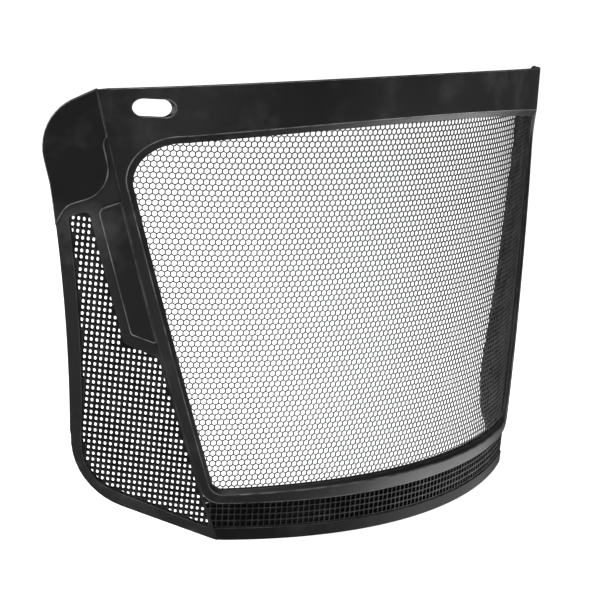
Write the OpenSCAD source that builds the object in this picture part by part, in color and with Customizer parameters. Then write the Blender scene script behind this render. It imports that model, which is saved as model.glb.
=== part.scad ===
// Mesh face shield that hangs from the visor carrier of a safety helmet.
// The front is a curved frame round a mesh window. A side panel folds back from each end of it.
// Origin: midway between the two carrier slots. +X is the wearer's left, +Y points to the
// wearer's face and +Z is up. Shapes are drawn from the chin upwards and then moved there.

/* [Front frame] */
// Outer radius of the curved front
front_r = 194; // [185:1:220]
// Height from the chin edge to the middle of the brow
total_h = 192; // [185:1:200]
// How much the brow edge drops from the middle to the folds
brow_drop = 8; // [0:0.5:14]
// How much the chin edge rises from the middle to the folds
chin_rise = 2.5; // [0:0.5:5]
// Thickness of the brow band and the window ring
frame_t = 2.4; // [1.6:0.2:3]
// Height of the window ring's lower edge at the folds
rail_z = 18.5; // [16:0.5:20]
// Radius of the window ring's two lower outer corners
rail_corner_r = 9; // [4:1:12]

/* [Fold] */
// How far the folds lie behind the front at the chin
fold_back = 23.2; // [20:0.2:28]
// Backward lean of the folds
fold_tilt = 10.5; // [8:0.5:13]
// How far the folds bow backwards from a straight line
fold_bow = 2.5; // [1:0.1:4]

/* [Window and mesh] */
// Height of the window's lower edge
window_z = 23.5; // [23:0.5:28]
// Half width of the window at its lower edge
window_low_x = 94.5; // [90:0.5:96]
// Half width of the window at its upper corners
window_high_x = 129.5; // [120:0.5:130]
// Height of the window between its lower edge and its upper corners
window_h = 138; // [130:0.5:140]
// How much the window's upper edge arches
window_arch = 10.8; // [4:0.2:12]
// Thickness of the mesh sheet
mesh_t = 0.4; // [0.3:0.05:0.6]
// Width of mesh that is clamped under the frame
mesh_grip = 4.6; // [3:0.2:4.8]
// Thickness of the clamp ring behind the mesh
retainer_t = 1.8; // [1.2:0.2:2.4]
// Width of the clamp ring
retainer_w = 5.2; // [5:0.2:5.4]

/* [Side panels] */
// Angle of a level line on a side panel from straight back
side_splay = 38.1; // [30:0.5:45]
// How far a side panel bulges outwards over its height
side_bulge = 2.6; // [1:0.1:4]
// Thickness of the temple plates
temple_t = 1.8; // [1.2:0.2:2.4]
// Step down from a temple plate to the side wing below it
wing_step = 1.2; // [0.6:0.1:1.6]
// Thickness of the side wings
wing_t = 1.6; // [1.2:0.1:2.4]
// Thickness of the side grilles
grille_t = 1.2; // [0.8:0.1:1.6]
// Height that the cheek pads stand above the wings
pad_t = 1; // [0.4:0.1:1.2]

/* [Chin band] */
// Height of the chin band's lower border
border_h = 5.3; // [4:0.1:7]
// Step down from the window ring to the lower border
border_step = 0.8; // [0.4:0.1:1.2]
// Step down from the window ring to the vent lattice
vent_step = 1.4; // [1:0.1:1.6]
// Thickness of the backing strip behind the lattice
backing_t = 1.4; // [1:0.1:2]

/* [Carrier slots] */
// Distance between the middles of the two slots
slot_spacing = 242; // [230:1:250]
// Height of the slots above the chin edge
slot_z = 177.8; // [174:0.2:179]
// Length of a slot, seen from the front
slot_len = 13; // [10:0.5:16]
// Width of a slot
slot_w = 6.8; // [6:0.2:8]

/* [Heat stakes] */
// Radius of the pins
stake_r = 0.9; // [0.6:0.1:1.2]
// Radius of the melted heads
stake_head_r = 1.8; // [1.4:0.1:2.2]
// Height of the melted heads
stake_head_h = 1; // [0.6:0.1:1.4]

/* [Hidden] */
$fn = 360;

// Slot place, from the front's middle line at the chin
slot_x = slot_spacing / 2;
slot_y = front_r - sqrt(front_r ^ 2 - slot_x ^ 2);

// Radii of the layers behind the frame's outer face
frame_in_r = front_r - frame_t;
mesh_in_r = frame_in_r - mesh_t;
retainer_in_r = mesh_in_r - retainer_t;
chin_in_r = frame_in_r - backing_t;

// Depth of a side wing's inner face below the temple plate's outer face
flange_d = wing_step + wing_t;

// Ends of the fold line, on the outer face
function fold_y(z) = fold_back + z * tan(fold_tilt);
function half_w(z) = sqrt(front_r ^ 2 - (front_r - fold_y(z)) ^ 2);
brow_end_z = total_h - brow_drop;
fold_low = [half_w(chin_rise), fold_y(chin_rise), chin_rise];
fold_high = [half_w(brow_end_z), fold_y(brow_end_z), brow_end_z];
fold_len = norm(fold_high - fold_low);

// Directions on a side panel: up along the fold, outwards, and backwards
function unit(v) = v / norm(v);
up_dir = unit(fold_high - fold_low);
out_dir = unit(cross([sin(side_splay), cos(side_splay), 0], up_dir));
back_dir = cross(up_dir, out_dir);

// Directions at the fold: outwards between the two faces, and across the fold
fold_mid = (fold_low + fold_high) / 2;
front_out = unit([fold_mid.x, fold_mid.y - front_r, 0]);
fold_out = unit((front_out + out_dir) - ((front_out + out_dir) * up_dir) * up_dir);
fold_across = cross(up_dir, fold_out);

// A bowed line of length l and rise s lies on a circle of this radius
function bow_r(l, s) = (l ^ 2 / 4 + s ^ 2) / (2 * s);
side_r = bow_r(fold_len, side_bulge);
fold_r = bow_r(fold_len, fold_bow);
side_fn = 1440;

// Room for cuts and prisms to run past what they cut
past = 30;
cut_through_h = 900;
side_reach = 120;
pin_fn = 48;

// ---- Outlines ----
// A corner is [x, y, radius, bow]: bow is how far the edge that leaves it swings to its left.
function left_of(v) = [-v.y, v.x] / norm(v);
function place(c) = [c.x, c.y];
function bowed(a, b, s, k) =
    place(a) + k * (place(b) - place(a)) + 4 * s * k * (1 - k) * left_of(place(b) - place(a));
function leaving(a, b) = unit(place(b) - place(a) + 4 * a[3] * left_of(place(b) - place(a)));
function arriving(a, b) = unit(place(b) - place(a) - 4 * a[3] * left_of(place(b) - place(a)));
function half_angle(before, c, after) = acos(-arriving(before, c) * leaving(c, after)) / 2;
function trim(before, c, after) = c[2] / tan(half_angle(before, c, after));

corner_steps = 8;
edge_steps = 14;

// Points of the round at corner c, from the edge before it to the edge after it
function round_pts(before, c, after) =
    let (h = half_angle(before, c, after),
         u = -arriving(before, c),
         v = leaving(c, after),
         mid = place(c) + unit(u + v) * c[2] / sin(h),
         from = place(c) + u * trim(before, c, after) - mid,
         to = place(c) + v * trim(before, c, after) - mid,
         turn = atan2(from.x * to.y - from.y * to.x, from * to),
         a0 = atan2(from.y, from.x))
    [for (i = [0:corner_steps])
        mid + c[2] * [cos(a0 + turn * i / corner_steps), sin(a0 + turn * i / corner_steps)]];

// Points inside the edge from b to c, left out where the edge is straight
function edge_pts(a, b, c, d) =
    b[3] == 0 ? [] :
    let (l = norm(place(c) - place(b)),
         k0 = (b[2] > 0 ? trim(a, b, c) : 0) / l,
         k1 = 1 - (c[2] > 0 ? trim(b, c, d) : 0) / l)
    [for (i = [1:edge_steps - 1]) bowed(b, c, b[3], k0 + (k1 - k0) * i / edge_steps)];

function outline(cs) =
    let (n = len(cs))
    [for (i = [0:n - 1])
        let (a = cs[(i + n - 1) % n], b = cs[i], c = cs[(i + 1) % n], d = cs[(i + 2) % n])
        each concat(b[2] > 0 ? round_pts(a, b, c) : [place(b)], edge_pts(a, b, c, d))];

// ---- Front outlines, seen from the front as [x, z] ----
wide_x = 150;
rail_bow = 2;
brow_edge = brow_drop * (wide_x / fold_high.x) ^ 2;
brow_edge_z = total_h - brow_edge;
shoulder_z = brow_edge_z - 4;
frame_corners = [
    [-half_w(rail_z), rail_z, rail_corner_r, -rail_bow],
    [half_w(rail_z), rail_z, rail_corner_r, 0],
    [wide_x, shoulder_z, 0, 0],
    [wide_x, brow_edge_z, 0, -brow_edge],
    [-wide_x, brow_edge_z, 0, 0],
    [-wide_x, shoulder_z, 0, 0]
];

// The window's outline, moved outwards by m all round
window_bow = 1.3;
window_low_r = 5;
window_high_r = 15.5;
function window_corners(m) = [
    [-window_low_x - 0.79 * m, window_z - m, window_low_r + m, 0],
    [window_low_x + 0.79 * m, window_z - m, window_low_r + m, -window_bow],
    [window_high_x + 1.23 * m, window_z + window_h + 0.83 * m, window_high_r + m, -window_arch],
    [-window_high_x - 1.23 * m, window_z + window_h + 0.83 * m, window_high_r + m, -window_bow]
];

// The chin band below height z at its ends. top_drop is how much lower its middle is.
chin_side_x = 110;
chin_edge = chin_rise * (chin_side_x / fold_low.x) ^ 2;
backing_z = window_z - retainer_w - 0.3;
function chin_corners(z, top_drop) = [
    [-chin_side_x, chin_edge, 0, -chin_edge],
    [chin_side_x, chin_edge, 0, 0],
    [chin_side_x, z, 0, top_drop],
    [-chin_side_x, z, 0, 0]
];
border_corners = chin_corners(border_h + chin_edge, chin_edge);

// ---- Side outlines as [distance behind the fold, distance up the fold] ----
panel_corners = [
    [-15, -10.3, 0, 0],
    [53.9, 34.5, 30, 3],
    [27.8, 158, 40, 0],
    [27.3, 184.8, 21, 0],
    [-15, 193.3, 0, 0]
];
temple_corners = [
    [-15, 176, 0, 0],
    [2.8, 171, 5, 0],
    [3.4, 150, 13, 0],
    [23.5, 148.3, 8, 0],
    [31.5, 140, 0, 0],
    [60, 140, 0, 0],
    [60, 200, 0, 0],
    [-15, 200, 0, 0]
];
vent_corners = [
    [1.6, 5.4, 1.5, 0],
    [48.5, 37.8, 20, 2.8],
    [24.2, 143.9, 2, 0],
    [15.7, 144.3, 2, 0],
    [15.7, 89.6, 2, 0],
    [3.5, 80.8, 1.5, 0]
];
pad_corners = [
    [-15, 85.4, 0, 0],
    [4, 87.4, 0, 0],
    [12, 92.6, 2, 0],
    [11.8, 144.5, 3, 0],
    [-15, 147.5, 0, 0]
];

// The wing's tongue runs this far up behind the temple plate, and three pins hold it there
tongue_h = 7;
temple_stake_spots = [[9, 154.5], [16, 152.8], [23, 151.8]];

// ---- Building blocks ----
module from_slots() translate([0, -slot_y, -slot_z]) children();

module on_left() from_slots() children();
module on_right() from_slots() mirror([1, 0, 0]) children();

// Turns a drawing in [x, z] into a prism along Y
module prism(pts, near, far) {
    translate([0, far, 0]) rotate([90, 0, 0]) linear_extrude(far - near) polygon(pts);
}

// A curved wall about the front's centre line
module front_layer(r_out, r_in) {
    translate([0, front_r, -past]) difference() {
        cylinder(r = r_out, h = total_h + 2 * past);
        translate([0, 0, -1]) cylinder(r = r_in, h = total_h + 2 * past + 2);
    }
}

module front_prism(pts) prism(pts, -past, front_r / 2);

// All that lies in front of the left fold
module ahead_of_fold() {
    multmatrix([
        [fold_across.x, fold_out.x, up_dir.x, fold_mid.x],
        [fold_across.y, fold_out.y, up_dir.y, fold_mid.y],
        [fold_across.z, fold_out.z, up_dir.z, fold_mid.z],
        [0, 0, 0, 1]
    ])
    translate([fold_bow - fold_r, 0, 0]) rotate([90, 0, 0])
    cylinder(r = fold_r, h = cut_through_h, center = true, $fn = side_fn);
}

// A piece of the front between two radii, inside an outline and the two folds
module front_part(r_out, r_in, pts) {
    intersection() {
        front_layer(r_out, r_in);
        front_prism(pts);
        ahead_of_fold();
        mirror([1, 0, 0]) ahead_of_fold();
    }
}

// Moves a drawing onto the left side panel: x runs back, y inwards and z up the fold
module on_side() {
    multmatrix([
        [back_dir.x, -out_dir.x, up_dir.x, fold_low.x],
        [back_dir.y, -out_dir.y, up_dir.y, fold_low.y],
        [back_dir.z, -out_dir.z, up_dir.z, fold_low.z],
        [0, 0, 0, 1]
    ])
    children();
}

// The side panel's skin between two depths below its outer face
module side_layer(d_out, d_in) {
    translate([-past, side_r - side_bulge, fold_len / 2]) rotate([0, 90, 0])
    difference() {
        cylinder(r = side_r - d_out, h = side_reach, $fn = side_fn);
        translate([0, 0, -1]) cylinder(r = side_r - d_in, h = side_reach + 2, $fn = side_fn);
    }
}

module side_prism(pts) prism(pts, -past, past);

// A piece of the left side panel between two depths, behind the fold
module side_part(d_out, d_in) {
    difference() {
        on_side() intersection() {
            side_layer(d_out, d_in);
            side_prism(outline(panel_corners));
            children();
        }
        ahead_of_fold();
    }
}

// ---- Heat stakes ----
// Distance of the pins outside the window's edge
pin_line = 2.6;
stake_head_tip_r = 0.6 * stake_head_r;
function window_side_x(z) =
    bowed([window_low_x, 0], [window_high_x, window_h], -window_bow, (z - window_z) / window_h).x;
function window_top_z(x) = window_z + window_h + window_arch * (1 - (x / window_high_x) ^ 2);
stake_spots = concat(
    [for (x = [-105:35:105]) [x, window_top_z(x) + pin_line]],
    [for (x = [-80:40:80]) [x, window_z - pin_line]],
    [for (s = [-1, 1], z = [50:35:120]) [s * (window_side_x(z) + pin_line), z]]
);

// Draws along a radius of the front: its z runs outwards from the front's centre line
module at_spot(spot) {
    translate([0, front_r, spot.y]) rotate([0, 0, asin(spot.x / front_r)]) rotate([90, 0, 0])
    children();
}

module stake_holes() {
    for (spot = stake_spots)
        at_spot(spot) translate([0, 0, retainer_in_r - 1])
        cylinder(r = stake_r, h = frame_in_r - retainer_in_r + 2, $fn = pin_fn);
}

// A melted pin head, widest where it sits on the part
module stake_head() {
    cylinder(r1 = stake_head_tip_r, r2 = stake_head_r, h = stake_head_h, $fn = pin_fn);
}

// ---- Front pieces ----
module carrier_slot() {
    reach = (slot_len - slot_w) / 2;
    translate([slot_x, slot_y + past, slot_z]) rotate([90, 0, 0]) {
        for (s = [-1, 1]) translate([s * reach, 0, 0]) cylinder(d = slot_w, h = 2 * past);
        translate([-reach, -slot_w / 2, 0]) cube([2 * reach, slot_w, 2 * past]);
    }
}

module front_frame() {
    color("#232325") from_slots() difference() {
        front_part(front_r, frame_in_r, outline(frame_corners));
        front_prism(outline(window_corners(0)));
        carrier_slot();
        mirror([1, 0, 0]) carrier_slot();
    }
}

module mesh_screen() {
    color("#3a3b3d") from_slots() difference() {
        front_part(frame_in_r, mesh_in_r, outline(window_corners(mesh_grip)));
        stake_holes();
    }
}

module mesh_retainer() {
    color("#1d1d1f") from_slots() difference() {
        front_part(mesh_in_r, retainer_in_r, outline(window_corners(retainer_w)));
        front_prism(outline(window_corners(0)));
        stake_holes();
    }
}

module retainer_stakes() {
    color("#2c2c2e") from_slots() for (spot = stake_spots) at_spot(spot) {
        translate([0, 0, retainer_in_r])
        cylinder(r = stake_r, h = frame_in_r - retainer_in_r, $fn = pin_fn);
        translate([0, 0, retainer_in_r - stake_head_h]) stake_head();
    }
}

module chin_band() {
    color("#1b1b1c") from_slots() {
        front_part(frame_in_r, chin_in_r, outline(chin_corners(backing_z, 0)));
        front_part(front_r - border_step, frame_in_r, outline(border_corners));
    }
}

module chin_grille() {
    color("#262628") from_slots() difference() {
        front_part(front_r - vent_step, frame_in_r, outline(chin_corners(window_z, 0)));
        front_prism(outline(border_corners));
        front_prism(outline(frame_corners));
    }
}

// ---- Side pieces, drawn for the left side ----
module temple_plate() {
    side_part(0, temple_t) side_prism(outline(temple_corners));
}

module side_wing() {
    side_part(wing_step, flange_d) difference() {
        side_prism(outline(panel_corners));
        side_prism(outline(temple_corners));
        side_prism(outline(vent_corners));
    }
    difference() {
        side_part(temple_t, flange_d) difference() {
            side_prism(outline(temple_corners));
            translate([0, 0, tongue_h]) side_prism(outline(temple_corners));
        }
        temple_pins(flange_d + 1, temple_t - 1);
    }
}

// The pins of the temple plate, between two depths below the side panel's outer face
module temple_pins(d_in, d_out) {
    on_side() for (spot = temple_stake_spots)
        translate([spot.x, side_depth(spot.y) + d_in, spot.y]) rotate([90, 0, 0])
        cylinder(r = stake_r, h = d_in - d_out, $fn = pin_fn);
}

// Where the side panel's outer face lies at a height up the fold
function side_depth(w) = side_r - side_bulge - sqrt(side_r ^ 2 - (w - fold_len / 2) ^ 2);

module temple_stakes() {
    temple_pins(flange_d, temple_t);
    on_side() for (spot = temple_stake_spots)
        translate([spot.x, side_depth(spot.y) + flange_d + stake_head_h, spot.y])
        rotate([90, 0, 0]) stake_head();
}

module side_grille() {
    inset = (wing_t - grille_t) / 2;
    side_part(wing_step + inset, wing_step + inset + grille_t) side_prism(outline(vent_corners));
}

module cheek_pad() {
    side_part(wing_step - pad_t, wing_step) side_prism(outline(pad_corners));
}

module left_temple_plate() color("#262628") on_left() temple_plate();
module right_temple_plate() color("#262628") on_right() temple_plate();
module left_side_wing() color("#2e2e30") on_left() side_wing();
module right_side_wing() color("#2e2e30") on_right() side_wing();
module left_side_grille() color("#202022") on_left() side_grille();
module right_side_grille() color("#202022") on_right() side_grille();
module left_cheek_pad() color("#29292b") on_left() cheek_pad();
module right_cheek_pad() color("#29292b") on_right() cheek_pad();
module left_temple_stakes() color("#2c2c2e") on_left() temple_stakes();
module right_temple_stakes() color("#2c2c2e") on_right() temple_stakes();

front_frame();
mesh_screen();
mesh_retainer();
retainer_stakes();
left_temple_plate();
right_temple_plate();
left_side_wing();
right_side_wing();
left_side_grille();
right_side_grille();
left_cheek_pad();
right_cheek_pad();
left_temple_stakes();
right_temple_stakes();
chin_band();
chin_grille();
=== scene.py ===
"""Looks of the mesh face shield: shapes, moulded plastic and painted steel, light and camera.

Sizes are in mm and are the CAD's own. Shapes are drawn from the front's middle at the chin, and
to_row() puts them in the row frame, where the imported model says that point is.
"""

import math

import bpy
import numpy as np
from mathutils import Matrix, Vector
from mathutils.geometry import delaunay_2d_cdt


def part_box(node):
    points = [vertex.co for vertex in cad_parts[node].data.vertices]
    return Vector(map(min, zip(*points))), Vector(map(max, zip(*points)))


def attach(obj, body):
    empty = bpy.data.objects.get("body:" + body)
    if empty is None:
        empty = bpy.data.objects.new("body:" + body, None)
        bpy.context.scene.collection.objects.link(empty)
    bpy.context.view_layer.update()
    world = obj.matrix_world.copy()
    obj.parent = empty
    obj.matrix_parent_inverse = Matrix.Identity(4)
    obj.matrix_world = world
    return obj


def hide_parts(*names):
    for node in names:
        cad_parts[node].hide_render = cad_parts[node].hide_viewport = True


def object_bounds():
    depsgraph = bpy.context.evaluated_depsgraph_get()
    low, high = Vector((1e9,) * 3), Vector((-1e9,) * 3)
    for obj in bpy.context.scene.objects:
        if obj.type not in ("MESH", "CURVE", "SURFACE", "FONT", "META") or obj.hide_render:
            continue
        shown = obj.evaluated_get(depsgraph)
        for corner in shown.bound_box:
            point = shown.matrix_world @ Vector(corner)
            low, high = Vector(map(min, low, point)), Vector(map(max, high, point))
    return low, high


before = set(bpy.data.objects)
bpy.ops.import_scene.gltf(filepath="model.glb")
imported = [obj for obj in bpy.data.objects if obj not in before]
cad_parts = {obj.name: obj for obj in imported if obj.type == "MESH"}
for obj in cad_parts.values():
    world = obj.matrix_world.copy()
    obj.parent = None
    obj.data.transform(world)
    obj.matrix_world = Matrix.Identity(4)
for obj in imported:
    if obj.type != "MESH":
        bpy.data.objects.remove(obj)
CAD_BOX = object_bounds()

MM = 0.001

# ---- Front ----
FRONT_R = 194
TOTAL_H = 192
BROW_DROP = 8
CHIN_RISE = 2.5
FRAME_T = 2.4
RAIL_Z = 18.5
RAIL_BOW = 2
RAIL_CORNER_R = 9
WIDE_X = 150

# ---- Fold ----
FOLD_BACK = 23.2
FOLD_TILT = math.radians(10.5)
FOLD_BOW = 2.5

# ---- Window, mesh and clamp ring ----
WINDOW_Z = 23.5
WINDOW_LOW_X = 94.5
WINDOW_HIGH_X = 129.5
WINDOW_H = 138
WINDOW_ARCH = 10.8
WINDOW_BOW = 1.3
WINDOW_LOW_R = 5
WINDOW_HIGH_R = 15.5
# How far the low and high corners move for each mm that the outline moves out
LOW_SPREAD = 0.79
HIGH_SPREAD = 1.23
HIGH_RISE = 0.83
TOP_SPREAD = 0.3
LIP_W = 1.5
LIP_TOP_W = 2.7
LIP_DEPTH = 1.3
RIM_R = 0.6
SILL_R = 0.35
SILL_DROP = 0.3
MESH_T = 0.4
MESH_CLEARANCE = 0.01
MESH_GRIP = 3
HEX_PITCH = 2.5
HEX_BAR = 0.43
RETAINER_T = 1.8
RETAINER_W = 5.2

# ---- Side panels ----
SIDE_SPLAY = math.radians(38.1)
SIDE_BULGE = 2.6
TEMPLE_T = 1.8
WING_STEP = 1.2
WING_T = 1.6
GRILLE_T = 1.2
PAD_T = 1
GRILLE_TURN = math.radians(19.5)
GRILLE_PITCH = (2.2, 2.55)
GRILLE_HOLE = (1.0, 1.4)
GRILLE_TAPER = 0.36
GRILLE_RIB = 0.2
# Shells that lie on each other are this far apart, or let in this far
HAIR = 0.02

# ---- Chin band ----
CHIN_SIDE_X = 110
BORDER_H = 5.3
BORDER_STEP = 0.8
VENT_STEP = 1.4
BACKING_T = 1.4
BACKING_GAP = 0.3
CHIN_PITCH = (2.6, 2.6)
CHIN_HOLE = (1.95, 1.95)
CHIN_ROWS = 4
CHIN_TAPER = 0.12
CHIN_RIB = 0.5
CHIN_FIRST_GAP = 0.35

# ---- Carrier slots and heat stakes ----
SLOT_SPACING = 242
SLOT_Z = 177.8
SLOT_LEN = 13
SLOT_W = 6.8
STAKE_R = 0.9
STAKE_LEN = 1.6
STAKE_HEAD_R = 1.8
STAKE_TURNS = 20
# A melted head from its rim to its dimple: (share of its radius, height above the face)
HEAD_PROFILE = [
    (0.94, 0),
    (1, 0.14),
    (0.97, 0.34),
    (0.86, 0.58),
    (0.68, 0.78),
    (0.5, 0.86),
    (0.32, 0.8),
    (0.16, 0.62),
]
DIMPLE_HEIGHT = 0.56
PIN_LINE = 2.6

# ---- Meshing ----
# Points closer than this to the corner that a cut makes are dropped, so that rounds fit there
CORNER_GAP = 1
# Triangles of less than half this area, in square mm, are dropped
SLIVER = 0.001
# The share of an edge's wear and painted highlight that the fold keeps off
FOLD_WEAR_AND_HIGHLIGHT_CUT = 0.6
# The least that a moved corner's reach is divided by, so that sharp ones don't run far out
CORNER_LIMIT = 0.4
# Rows of filling points are this share of the spacing apart, and this share clear of an edge
ROW_SHARE = 0.87
CLEAR_SHARE = 0.55
# Pairs of points worked on at once, to save memory
CROSSING_PAIRS = 4_000_000
DISTANCE_PAIRS = 2_000_000
SHARP_ANGLE = math.radians(38)
NORMAL_WEIGHT = 80
# A spacing so wide that no filling points fit between a lattice's holes
NO_FILLING = 60

ORIGIN = np.array([0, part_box("front_frame")[0].y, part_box("chin_band")[0].z])


def to_row(points):
    """Points in mm from the chin's middle, in metres in the row frame."""
    return np.asarray(points) * MM + ORIGIN


# ---- The fold and the side panel's directions ----
def unit(v):
    """The vector at length 1."""
    return v / np.linalg.norm(v)


def fold_y(z):
    """How far behind the front's middle the fold lies at height z."""
    return FOLD_BACK + z * math.tan(FOLD_TILT)


def half_w(z):
    """Half the front's width at height z."""
    return math.sqrt(FRONT_R**2 - (FRONT_R - fold_y(z)) ** 2)


def bow_radius(length, rise):
    """Radius of the arc of this chord and rise."""
    return (length**2 / 4 + rise**2) / (2 * rise)


BROW_END_Z = TOTAL_H - BROW_DROP
FOLD_LOW = np.array([half_w(CHIN_RISE), fold_y(CHIN_RISE), CHIN_RISE])
FOLD_HIGH = np.array([half_w(BROW_END_Z), fold_y(BROW_END_Z), BROW_END_Z])
FOLD_MID = (FOLD_LOW + FOLD_HIGH) / 2
FOLD_LEN = np.linalg.norm(FOLD_HIGH - FOLD_LOW)
UP = unit(FOLD_HIGH - FOLD_LOW)
OUT = unit(np.cross([math.sin(SIDE_SPLAY), math.cos(SIDE_SPLAY), 0], UP))
BACK = np.cross(UP, OUT)
FRONT_OUT = unit(np.array([FOLD_MID[0], FOLD_MID[1] - FRONT_R, 0]))
FOLD_OUT = unit(FRONT_OUT + OUT - (FRONT_OUT + OUT) @ UP * UP)
ACROSS = np.cross(UP, FOLD_OUT)
SIDE_R = bow_radius(FOLD_LEN, SIDE_BULGE)
FOLD_R = bow_radius(FOLD_LEN, FOLD_BOW)
MITRE = math.tan(math.acos(FOLD_OUT @ OUT))


def fold_shift(w):
    """How far across the fold its line lies at a height w up it."""
    return FOLD_BOW - FOLD_R + np.sqrt(FOLD_R**2 - (w - FOLD_LEN / 2) ** 2)


def side_depth(w):
    """How far the side panel's outer face curves in at a height w up the fold."""
    return SIDE_R - SIDE_BULGE - np.sqrt(SIDE_R**2 - (w - FOLD_LEN / 2) ** 2)


def fold_on_side(w):
    """Where the fold lies on the side panel, as a distance behind the straight fold line."""
    start = FOLD_LOW + np.outer(w, UP) - np.outer(side_depth(w), OUT)
    return (fold_shift(w) - (start - FOLD_MID) @ ACROSS) / (BACK @ ACROSS)


def fold_on_front(w):
    """The fold as (distance round the front, height)."""
    base = FOLD_MID + np.outer(fold_shift(w), ACROSS) + np.outer(w - FOLD_LEN / 2, UP)
    x, y = base[:, 0], base[:, 1] - FRONT_R
    a = FOLD_OUT[0] ** 2 + FOLD_OUT[1] ** 2
    b = 2 * (x * FOLD_OUT[0] + y * FOLD_OUT[1])
    c = x**2 + y**2 - FRONT_R**2
    point = base + np.outer((-b + np.sqrt(b**2 - 4 * a * c)) / (2 * a), FOLD_OUT)
    return FRONT_R * np.arcsin(point[:, 0] / FRONT_R), point[:, 2]


FOLD_HEIGHTS = np.linspace(-20, FOLD_LEN + 20, 120)


def fold_at(z):
    """Distance round the front to the left fold at height z."""
    s, heights = fold_on_front(FOLD_HEIGHTS)
    return np.interp(z, heights, s)


# ---- Surfaces: flat shapes are bent onto these ----
def on_front(points, depth):
    """(distance round, height) to a place on the curved front, depth mm below its face."""
    angle = points[:, 0] / FRONT_R
    r = FRONT_R - depth
    return np.stack([r * np.sin(angle), FRONT_R - r * np.cos(angle), points[:, 1]], 1)


def on_left(points, depth):
    """(distance behind the fold, distance up it) to a place on the left side panel."""
    inwards = side_depth(points[:, 1]) + depth
    return FOLD_LOW + points[:, :1] * BACK + points[:, 1:2] * UP - inwards[:, None] * OUT


def on_right(points, depth):
    return on_left(points, depth) * [-1, 1, 1]


# ---- Outlines ----
def left_of(v):
    """The direction to the left of v."""
    return np.array([-v[1], v[0]]) / np.hypot(*v)


def place(corner):
    return np.array(corner[:2], float)


def bowed(a, b, bow, k):
    """Points at the shares k of the way from a to b, on a line that swings to its left by bow."""
    k = np.atleast_1d(k)[:, None]
    way = place(b) - place(a)
    return place(a) + k * way + 4 * bow * k * (1 - k) * left_of(way)


def leaving(a, b):
    """The direction in which the edge to b leaves a."""
    way = place(b) - place(a)
    return unit(way + 4 * a[3] * left_of(way))


def arriving(a, b):
    """The direction in which the edge from a reaches b."""
    way = place(b) - place(a)
    return unit(way - 4 * a[3] * left_of(way))


def half_angle(before, c, after):
    return math.acos(np.clip(-arriving(before, c) @ leaving(c, after), -1, 1)) / 2


def trim(before, c, after):
    """How much of its edges the round at corner c takes."""
    return c[2] / math.tan(half_angle(before, c, after))


def round_points(before, c, after, steps):
    """Points round the corner c."""
    if c[2] == 0:
        return place(c)[None]
    u, v = -arriving(before, c), leaving(c, after)
    middle = place(c) + unit(u + v) * c[2] / math.sin(half_angle(before, c, after))
    reach = trim(before, c, after)
    start, end = place(c) + u * reach - middle, place(c) + v * reach - middle
    turn = math.atan2(start[0] * end[1] - start[1] * end[0], start @ end)
    angle = math.atan2(start[1], start[0]) + turn * np.arange(steps + 1) / steps
    return middle + c[2] * np.stack([np.cos(angle), np.sin(angle)], 1)


def outline(corners, spacing=2.5, edge_steps=None, arc_steps=10):
    """An anticlockwise loop. A corner is (x, y, radius, bow), and bow is how far the edge that
    leaves it swings to its left. Loops with the same edge_steps match point for point."""
    n, points = len(corners), []
    for i in range(n):
        a, b, c, d = (corners[(i + k) % n] for k in (-1, 0, 1, 2))
        length = np.linalg.norm(place(c) - place(b))
        k0, k1 = trim(a, b, c) / length, 1 - trim(b, c, d) / length
        steps = edge_steps or max(1, round((k1 - k0) * length / spacing))
        points.append(round_points(a, b, c, arc_steps))
        points.append(bowed(b, c, b[3], k0 + (k1 - k0) * np.arange(1, steps) / steps))
    return np.concatenate([p for p in points if len(p)])


def contains(loop, points):
    """Which points lie inside a loop."""
    a, b = loop[:, :2], np.roll(loop[:, :2], -1, 0)
    return odd_crossings(a, b, points)


def odd_crossings(a, b, points):
    """Which points lie inside the loops that the edges from a to b make up."""
    inside = []
    for p in np.array_split(points[:, :2], max(1, len(points) * len(a) // CROSSING_PAIRS)):
        x, y = p[:, :1], p[:, 1:]
        spans = (a[:, 1] > y) != (b[:, 1] > y)
        rise = np.where(b[:, 1] == a[:, 1], 1, b[:, 1] - a[:, 1])
        at = a[:, 0] + (y - a[:, 1]) * (b[:, 0] - a[:, 0]) / rise
        inside.append((spans & (x < at)).sum(1) % 2 == 1)
    return np.concatenate(inside)


def crossing(p, q, loop):
    """Where the line from p to q crosses the loop."""
    a, e = loop[:, :2], np.roll(loop[:, :2], -1, 0) - loop[:, :2]
    d = q[:2] - p[:2]
    across = d[0] * e[:, 1] - d[1] * e[:, 0]
    across = np.where(abs(across) < 1e-12, 1e-12, across)
    gap = a - p[:2]
    t = (gap[:, 0] * e[:, 1] - gap[:, 1] * e[:, 0]) / across
    k = (gap[:, 0] * d[1] - gap[:, 1] * d[0]) / across
    hit = (t >= 0) & (t <= 1) & (k >= 0) & (k <= 1)
    return p[:2] + d * t[hit][0]


def run_of(loop, mask):
    """The one run of the loop's points where mask holds, in order."""
    start = np.flatnonzero(mask & ~np.roll(mask, 1))[0]
    loop, mask = np.roll(loop, -start, 0), np.roll(mask, -start)
    return loop[mask]


def marked(loop, mark=0):
    """The loop with a third column: 1 for points on the fold."""
    return loop if loop.shape[1] == 3 else np.column_stack([loop, np.full(len(loop), mark)])


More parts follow.
